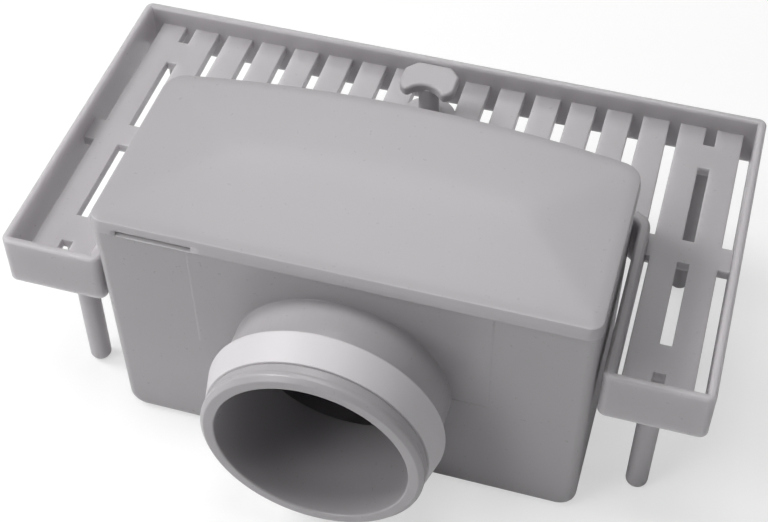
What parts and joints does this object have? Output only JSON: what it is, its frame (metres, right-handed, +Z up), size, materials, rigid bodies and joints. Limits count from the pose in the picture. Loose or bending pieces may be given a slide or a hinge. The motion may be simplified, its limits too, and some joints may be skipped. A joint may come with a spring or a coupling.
{
  "type": "shower trap",
  "caption": "Shower trap: a slotted drain frame on pegs stands around a deep trap box with a lid, a round outlet spigot with a seal ring, and a lifting knob.",
  "frame": {"origin": "on the standing plane, on the flat of the box floor, under the middle of the outlet and 16 mm behind the front faces of the frame arms", "axes": "+X along the frame, to the right seen from the outlet; +Y to the back, away from the outlet; +Z up"},
  "size_m": [0.16, 0.112, 0.0698],
  "materials": {
    "frame_plastic": "matt moulded, light grey",
    "box_plastic": "matt moulded, light grey",
    "lid_plastic": "matt moulded, light grey",
    "knob_plastic": "matt moulded, light grey",
    "seal_rubber": "matt, off-white"
  },
  "bodies": {
    "root": {"grate_frame": "frame_plastic", "trap_box": "box_plastic", "trap_lid": "lid_plastic", "lifting_knob": "knob_plastic", "seal_ring": "seal_rubber"}
  },
  "joints": []
}
